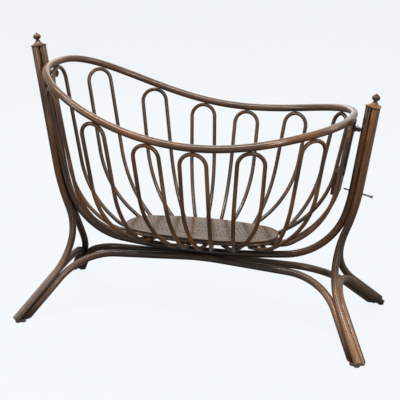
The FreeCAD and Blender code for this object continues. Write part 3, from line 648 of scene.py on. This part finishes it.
black_iron, wire = new_material("black_iron")
spot = wire.spot()
scale_marks = wire.noise(spot, 180.0, 4.0, 0.35, 0.7)
rub = wire.noise(spot, 60.0, 2.0, 0.55, 0.75)
rusty = 1.0 - wire.parts(spot).between(-0.2, 0.2)
tone = scale_marks.mix(colour(20, 18, 17), colour(46, 41, 37))
tone = (rusty * (0.35 + scale_marks * 0.4)).mix(tone, colour(112, 80, 58))
tone = (rub * 0.6).mix(tone, colour(92, 78, 66))
finish_material(black_iron, wire, tone, 0.42 + scale_marks * 0.25, scale_marks, Metallic=0.75 - rusty * 0.6)
for name in ("pivot_pin_head", "pivot_pin_foot", "pivot_spacer_head", "pivot_spacer_foot", "strap_head",
             "strap_foot"):
    dress(name, black_iron)

bright_wire, wire = new_material("bright_wire")
dull = wire.noise(wire.spot(), 420.0, 2.0, 0.3, 0.7)
finish_material(bright_wire, wire, dull.mix(colour(120, 116, 110), colour(70, 64, 58)), 0.3 + dull * 0.25,
                Metallic=0.9)
dress("split_pins", bright_wire)


# Rim: one beech rod bent into a closed oval that rises to both ends, higher at the head.
# Hands have worn its outside to a warmer brown, dust with a painted sheen lies on top, and its top is paler
# at the foot end.

RIM_DIA = 0.024
SWING_HEAD_Z = 0.81
SWING_FOOT_Z = 0.678
RIM_HEAD_X = -bow_x(SWING_HEAD_Z) + 0.0391
RIM_FOOT_X = bow_x(SWING_FOOT_Z) - 0.0395
RIM_HALF_WIDTH = 0.3087
RIM_HEAD_POWER = 2.65
RIM_FOOT_POWER = 2.36
RIM_MID_Z = 0.6669
RIM_RISE = (-0.0482, 0.1401, -0.011, -0.0275)
RIM_SAMPLES = 1200
RIM_HALF_POINTS = 180
HEADING_REACH = 0.006

rim_mid_x = (RIM_HEAD_X + RIM_FOOT_X) / 2
rim_half = (RIM_FOOT_X - RIM_HEAD_X) / 2


def rim_point(angle):
    """Point of the front half of the rim; the angle is 0 at the foot end and half a turn at the head."""
    c = math.cos(angle)
    power = RIM_HEAD_POWER if c < 0 else RIM_FOOT_POWER
    x = rim_mid_x + rim_half * math.copysign(abs(c) ** (2 / power), c)
    y = RIM_HALF_WIDTH * abs(math.sin(angle)) ** (2 / power)
    u = x / rim_half
    return vec(x, -y, RIM_MID_Z + sum(factor * u ** (k + 1) for k, factor in enumerate(RIM_RISE)))


rim_line = [rim_point(math.pi * (1 - i / RIM_SAMPLES)) for i in range(RIM_SAMPLES + 1)]
rim_steps = [np.linalg.norm(b - a) for a, b in zip(rim_line, rim_line[1:])]
rim_run = np.concatenate([[0.0], np.cumsum(rim_steps)])


def rim_at(run):
    """Point of the front half of the rim at a length from its head end."""
    return vec(*(np.interp(run, rim_run, [p[k] for p in rim_line]) for k in range(3)))


def rim_heading(run):
    ahead = rim_at(min(rim_run[-1], run + HEADING_REACH))
    return unit(ahead - rim_at(max(0.0, run - HEADING_REACH)))


front_half = [rim_at(run) for run in np.linspace(0, rim_run[-1], RIM_HALF_POINTS)]
back_half = [p * [1, -1, 1] for p in front_half]
rim_wood = bentwood("rim_wood", colour(17, 11, 6), colour(71, 46, 25), colour(138, 85, 37),
                    dust_and_sheen=0.75, dust_and_sheen_tone=colour(148, 115, 85), shine=0.3, pale_from=0.4)
bent_rod("rim", front_half + back_half[-2:0:-1], RIM_DIA, rim_wood, "basket", closed=True)


# Floor hoop and board: a thin rod bent into an oval carries a sheet of perforated plywood.
# The board is stained brown and polished, pierced in rows round a plain rosette, and nailed to the hoop.

BOARD_HALF_LENGTH = rim_half - 0.2318
BOARD_HALF_WIDTH = 0.108
BOARD_END_RADIUS = 0.085
BOARD_MID_X = rim_mid_x + 0.0053
BOARD_TOP = 0.3053
BOARD_THICK = 0.006
BOARD_POINTS = 160
EDGE_EASE = 0.0012
HOOP_DIA = 0.014
HOOP_INSET = 0.008
HOOP_POINTS = 200
HOLE_DIA = 0.005
HOLE_PITCH = 0.0145
HOLE_SIDES = 10
HOLE_MARGIN = 0.022
ROSETTE_RADIUS = 0.058
ROSETTE_CLEAR = ROSETTE_RADIUS + HOLE_PITCH * 0.8
ROSETTE_RINGS = ((1, 0.0), (8, 0.017), (16, 0.031), (16, 0.045), (24, ROSETTE_RADIUS))

end_mid = BOARD_HALF_LENGTH - BOARD_END_RADIUS
side_radius = (end_mid ** 2 + BOARD_HALF_WIDTH ** 2 - BOARD_END_RADIUS ** 2) / (
    2 * (BOARD_HALF_WIDTH - BOARD_END_RADIUS))
side_mid = side_radius - BOARD_HALF_WIDTH
side_half = math.atan2(end_mid, side_mid)
hoop_z = BOARD_TOP - BOARD_THICK - ROD_GAP - HOOP_DIA / 2


def oval_at(run, inset, z):
    """Point of the oval at a length from the middle of its head end, along the front side."""
    end_radius = BOARD_END_RADIUS - inset
    long_radius = side_radius - inset
    end_half = (math.pi / 2 - side_half) * end_radius
    side_whole = 2 * side_half * long_radius
    half_way = 2 * end_half + side_whole
    run, side = abs(run), (1 if run >= 0 else -1)
    if run > half_way:
        run, side = 2 * half_way - run, -side
    if run < end_half:
        angle = run / end_radius
        x, y = -end_mid - end_radius * math.cos(angle), -end_radius * math.sin(angle)
    elif run < end_half + side_whole:
        angle = (run - end_half) / long_radius - side_half
        x, y = long_radius * math.sin(angle), side_mid - long_radius * math.cos(angle)
    else:
        angle = (half_way - run) / end_radius
        x, y = end_mid + end_radius * math.cos(angle), -end_radius * math.sin(angle)
    return vec(BOARD_MID_X + x, side * y, z)


def oval_round(inset):
    return 4 * ((math.pi / 2 - side_half) * (BOARD_END_RADIUS - inset) + side_half * (side_radius - inset))


def oval_points(inset, z, count):
    return [oval_at(oval_round(inset) * i / count, inset, z) for i in range(count)]


thin_rod_wood = bentwood("thin_rod_wood", colour(18, 12, 6), colour(77, 50, 27), colour(148, 94, 41),
                         dust_and_sheen=0.6, dust_and_sheen_tone=colour(146, 118, 92), shine=0.23, dim_below=0.25)
bent_rod("floor_hoop", oval_points(HOOP_INSET, hoop_z, HOOP_POINTS), HOOP_DIA, thin_rod_wood, "basket",
         closed=True)

board_ply, wire = new_material("board_ply")
spot = wire.spot()
figure = wire.noise(wire.stretched(spot, (14, 320, 320)), 1.0, 4.0, 0.3, 0.7)
stain = wire.noise(spot, 16.0, 3.0, 0.5, 0.7)
dirt = wire.noise(spot, 90.0, 4.0, 0.45, 0.7)
headward = 1.0 - wire.parts(spot).between(-0.2, 0.05)
level = wire.math("ABSOLUTE", wire.facing_up()).between(0.35, 0.65)
tone = figure.mix(colour(66, 49, 34), colour(102, 79, 57))
tone = (stain * (0.3 + headward * 0.5)).mix(tone, colour(116, 74, 52))
tone = (dirt * 0.45).mix(tone, colour(64, 50, 40))
tone = level.mix(colour(52, 38, 29), tone)
finish_material(board_ply, wire, tone, 0.62 + figure * 0.15, Coat_Weight=0.15 + figure * 0.1,
                Coat_Roughness=0.16, Specular_IOR_Level=0.1)


def pierced_tree():
    """Sheet with a round hole at every given point."""
    inputs = (("Outline", "Geometry"), ("Holes", "Object"), ("Hole radius", "Float"), ("Thickness", "Float"),
              ("Ply", "Material"))
    tree, wire, given = new_tree("pierced_board", inputs, "Board")
    marks = wire.node("GeometryNodeObjectInfo", inputs={"Object": given.out("Holes")}, out="Geometry")
    drill = wire.node("GeometryNodeMeshCylinder",
                      inputs={"Vertices": HOLE_SIDES, "Radius": given.out("Hole radius"),
                              "Depth": given.out("Thickness") * 3})
    drills = wire.node("GeometryNodeInstanceOnPoints", inputs={"Points": marks, "Instance": drill})
    drills = wire.node("GeometryNodeRealizeInstances", inputs={0: drills})
    board = wire.node("GeometryNodeMeshBoolean", {"operation": "DIFFERENCE", "solver": "EXACT"},
                      {"Mesh 1": given, "Mesh 2": drills})
    board = wire.node("GeometryNodeRealizeInstances", inputs={0: board})
    board = wire.node("GeometryNodeSetMaterial", inputs={"Geometry": board, "Material": given.out("Ply")})
    wire.node("NodeGroupOutput", inputs={0: board})
    return tree


board_low = BOARD_TOP - BOARD_THICK
levels = ((board_low, EDGE_EASE), (board_low + EDGE_EASE, 0.0), (BOARD_TOP - EDGE_EASE, 0.0),
          (BOARD_TOP, EDGE_EASE))
places = [p for z, inset in levels for p in oval_points(inset, z, BOARD_POINTS)]
top_start = (len(levels) - 1) * BOARD_POINTS
faces = [tuple(range(BOARD_POINTS))[::-1], tuple(range(top_start, top_start + BOARD_POINTS))]
faces += ring_faces(len(levels), BOARD_POINTS)
blank = solid_object("floor_board_sheet", places, faces)

hole_z = BOARD_TOP - BOARD_THICK / 2
hole_places = []
rows = int((BOARD_HALF_WIDTH - HOLE_MARGIN) / HOLE_PITCH)
count = int(BOARD_HALF_LENGTH / HOLE_PITCH) + 1
for row in range(-rows, rows + 1):
    y = row * HOLE_PITCH
    for i in range(-count, count + 1):
        x = (i + 0.5 * (row % 2)) * HOLE_PITCH
        inside_end = math.hypot(max(0.0, abs(x) - end_mid), y) < BOARD_END_RADIUS - HOLE_MARGIN
        inside_side = math.hypot(x, abs(y) + side_mid) < side_radius - HOLE_MARGIN
        if inside_end and inside_side and math.hypot(x, y) > ROSETTE_CLEAR:
            hole_places.append(vec(BOARD_MID_X + x, y, hole_z))
for count, radius in ROSETTE_RINGS:
    for i in range(count):
        angle = 2 * math.pi * i / count
        hole_places.append(vec(BOARD_MID_X + radius * math.cos(angle), radius * math.sin(angle), hole_z))
marks = solid_object("floor_board_holes", hole_places, [])
board = grown(pierced_tree(), "floor_board_pierced", blank,
              {"Holes": marks, "Hole radius": HOLE_DIA / 2, "Thickness": BOARD_THICK, "Ply": board_ply})
bpy.data.objects.remove(marks)
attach(board, "basket")
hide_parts("floor_board")


# Hairpins: thin beech rods bent into narrow arches, six on each long side and one at each end.
# Their tops are screwed under the rim, and their ends run in under the hoop and are screwed to it.

PIN_DIA = 0.013
PIN_WIDTH = 0.083
PIN_WIDTH_HEAD = 0.097
PIN_FOOT_SPREAD = 0.027
PIN_AIM_SHARE = 0.64
PIN_AIM_FOOT = 0.7
PIN_KNEE_RISE = 0.1
PIN_KNEE_SHARE = 0.69
PIN_HEEL_OUT = 0.0395
PIN_TAIL = 0.03
PIN_FIRST_X = RIM_HEAD_X + 0.0606
PIN_LAST_X = RIM_FOOT_X - 0.0659
PIN_TOPS_FRONT = (-0.001, 0.201, 0.408, 0.583, 0.787, 0.985)
PIN_TOPS_BACK = (0.004, 0.205, 0.413, 0.599, 0.812, 1.011)
PIN_FEET_FRONT = (0.6, 1.6, 3.2, 4.1, 5.0, 6.1)
PIN_FEET_BACK = (1.35, 2.5, 3.15, 4.0, 4.9, 6.0)
PIN_COUNT = 14
ARCH_PROBE = np.radians(np.arange(-80, 81, 5))
ARCH_ANGLES = np.linspace(-math.pi / 2, math.pi / 2, 28)
SEATING_TRIES = 6

pin_z = hoop_z - HOOP_DIA / 2 - ROD_GAP - PIN_DIA / 2
rim_cloud = np.array(front_half + back_half)
hoop_round = oval_round(HOOP_INSET)
up = vec(0, 0, 1)


def hairpin(top, chord, width, place, aim_share):
    """Centre line of a hairpin whose top touches the rim; place counts hairpins round the hoop."""
    middle = hoop_round * place / PIN_COUNT
    under = [oval_at(middle + shift, HOOP_INSET, 0) for shift in (-PIN_FOOT_SPREAD / 2, PIN_FOOT_SPREAD / 2)]
    centre = (under[0] + under[1]) / 2
    aim = centre + (top - centre) * [1, 1, 0] * aim_share + up * pin_z
    clear = (RIM_DIA + PIN_DIA) / 2 + ROD_GAP

    def arch(angles):
        return [hub + (across * math.sin(a) - down * math.cos(a)) * (width / 2) for a in angles]

    drop = clear
    for attempt in range(SEATING_TRIES):
        apex = top - up * drop
        down = unit(aim - apex)
        across = unit(chord - down * (chord @ down))
        hub = apex + down * (width / 2)
        drop += clear - min(np.linalg.norm(rim_cloud - p, axis=1).min() for p in arch(ARCH_PROBE))
    tops = [hub - across * (width / 2), hub + across * (width / 2)]
    if np.linalg.norm(tops[0] - under[0]) > np.linalg.norm(tops[0] - under[1]):
        under.reverse()
    legs = []
    for start, ground in zip(tops, under):
        knee = start + down * ((start[2] - pin_z - PIN_KNEE_RISE) / -down[2])
        cross = ground + up * pin_z
        inward = unit((cross - knee) * [1, 1, 0])
        heel = cross - inward * PIN_HEEL_OUT
        slant = np.linalg.norm(heel - knee)
        legs.append(rounded([start, knee, heel, cross + inward * PIN_TAIL],
                            [slant * PIN_KNEE_SHARE, PIN_HEEL_OUT - HOOP_DIA / 2]))
    return legs[0][::-1] + arch(ARCH_ANGLES)[1:-1] + legs[1]


for side, side_name, tops, feet in ((1, "front", PIN_TOPS_FRONT, PIN_FEET_FRONT),
                                    (-1, "back", PIN_TOPS_BACK, PIN_FEET_BACK)):
    for number, (share, place) in enumerate(zip(tops, feet), 1):
        x = PIN_FIRST_X + (PIN_LAST_X - PIN_FIRST_X) * share
        run = np.interp(x, [p[0] for p in rim_line], rim_run)
        line = hairpin(rim_at(run), unit(rim_heading(run) * [1, 1, 0]), PIN_WIDTH, place, PIN_AIM_SHARE)
        bent_rod("hairpin_%s_%d" % (side_name, number), [p * [1, side, 1] for p in line], PIN_DIA,
                 thin_rod_wood, "basket")

end_pins = (("head", rim_line[0], PIN_WIDTH_HEAD, 0, PIN_AIM_SHARE),
            ("foot", rim_line[-1], PIN_WIDTH, PIN_COUNT / 2, PIN_AIM_FOOT))
for end_name, top, width, place, aim_share in end_pins:
    line = hairpin(top, vec(0, 1, 0), width, place, aim_share)
    bent_rod("hairpin_" + end_name, line, PIN_DIA, thin_rod_wood, "basket")


# Catch block: a small block of dark stained wood between the legs of the foot end hairpin.
# It is glued and screwed there, and its hole takes the tip of the lock pin. Knocks have left pale spots.

block_wood, wire = new_material("block_wood")
spot = wire.spot()
figure = wire.noise(wire.stretched(spot, (260, 20, 260)), 1.0, 4.0, 0.3, 0.7)
mottle = wire.noise(spot, 150.0, 3.0, 0.58, 0.68)
tone = figure.mix(colour(36, 24, 16), colour(72, 48, 31))
tone = (mottle * 0.6).mix(tone, colour(150, 136, 120))
finish_material(block_wood, wire, tone, 0.5 + figure * 0.15, figure, Specular_IOR_Level=0.1)
dress("catch_block", block_wood)


# Lock pin: a turned iron pin with a flanged head, which slides through a hole in the foot post.
# Pushed in, its tip enters the catch block and holds the basket still. Use has rubbed it grey.

lock_steel, wire = new_material("lock_steel")
rub = wire.noise(wire.spot(), 240.0, 3.0, 0.4, 0.7)
finish_material(lock_steel, wire, rub.mix(colour(58, 60, 64), colour(112, 114, 118)), 0.32 + rub * 0.2,
                Metallic=0.9)
dress("lock_pin", lock_steel)


# Studio: a sheet of pale paper on the floor, which takes the cradle's shadow, before an even pale ground.
# Five soft boxes light it: a long one above, narrow ones in front and on the left, and broader ones on
# the right and behind.

BACKGROUND = colour(242, 246, 249)
FLOOR_HALF = 15.0
FLOOR_GLOW = 0.94
SKY_STRENGTH = 0.18
LIGHT_TARGET = (0.0, 0.0, 0.4)
SOFT_BOXES = (("soft_box_above", (-0.4, -0.9, 3.2), 3.4, 0.5, 85.0),
              ("soft_box_front", (1.9, -3.0, 1.9), 0.35, 2.2, 40.0),
              ("soft_box_left", (-2.6, -2.0, 1.7), 0.35, 2.2, 22.0),
              ("soft_box_right", (3.0, 0.3, 1.7), 0.8, 2.2, 20.0),
              ("soft_box_back", (-1.2, 3.2, 2.0), 1.8, 2.4, 36.0))
CAMERA_PLACE = (0.9023, -3.0356, 1.4056)
CAMERA_TARGET = (-0.00841, 0, 0.40331)
CAMERA_LENS = 89.6
CAMERA_SENSOR = 36.0


def seen_rays(wire):
    """1 for what is seen, straight or by a reflection or through something clear, and 0 for its light."""
    rays = wire.node("ShaderNodeLightPath", out="Is Camera Ray")
    seen = wire.math("MAXIMUM", rays, rays.out("Is Glossy Ray"))
    return wire.math("MAXIMUM", seen, rays.out("Is Transmission Ray"))


floor_mesh = bpy.data.meshes.new("studio_floor")
floor_mesh.from_pydata([(-FLOOR_HALF, -FLOOR_HALF, 0), (FLOOR_HALF, -FLOOR_HALF, 0),
                        (FLOOR_HALF, FLOOR_HALF, 0), (-FLOOR_HALF, FLOOR_HALF, 0)], [], [(0, 1, 2, 3)])
floor = placed("studio_floor", floor_mesh)
floor_paper, wire = new_material("floor_paper")
seen = seen_rays(wire)
shade = seen.mix(colour(100, 96, 92), colour(238, 241, 243))
paper = wire.node("ShaderNodeBsdfDiffuse", inputs={"Color": shade})
even = wire.node("ShaderNodeEmission", inputs={"Color": colour(245, 249, 252), "Strength": 1.0})
ground = wire.node("ShaderNodeMixShader", inputs={0: seen * FLOOR_GLOW, 1: paper, 2: even})
wire.node("ShaderNodeOutputMaterial", inputs={"Surface": ground})
floor_mesh.materials.append(floor_paper)

world = bpy.data.worlds.new("studio")
bpy.context.scene.world = world
world.use_nodes = True
world.node_tree.nodes.clear()
wire = Wire(world.node_tree)
sky = wire.node("ShaderNodeBackground", inputs={"Color": (0.97, 0.98, 1.0, 1.0), "Strength": SKY_STRENGTH})
even = wire.node("ShaderNodeBackground", inputs={"Color": BACKGROUND, "Strength": 1.0})
both = wire.node("ShaderNodeMixShader", inputs={0: seen_rays(wire), 1: sky, 2: even})
wire.node("ShaderNodeOutputWorld", inputs={"Surface": both})


def aim(thing, place, target):
    """Put a light or camera at a place and turn it to a target."""
    thing.location = place
    thing.rotation_euler = (Vector(target) - Vector(place)).to_track_quat("-Z", "Y").to_euler()


for name, place, width, height, power in SOFT_BOXES:
    light = bpy.data.lights.new(name, "AREA")
    light.shape = "RECTANGLE"
    light.size = width
    light.size_y = height
    light.energy = power
    aim(placed(name, light), place, LIGHT_TARGET)

camera = bpy.data.cameras.new("camera")
camera.lens = CAMERA_LENS
camera.sensor_width = CAMERA_SENSOR
viewer = placed("camera", camera)
aim(viewer, CAMERA_PLACE, CAMERA_TARGET)
bpy.context.scene.camera = viewer
bpy.context.scene.view_settings.view_transform = "Standard"
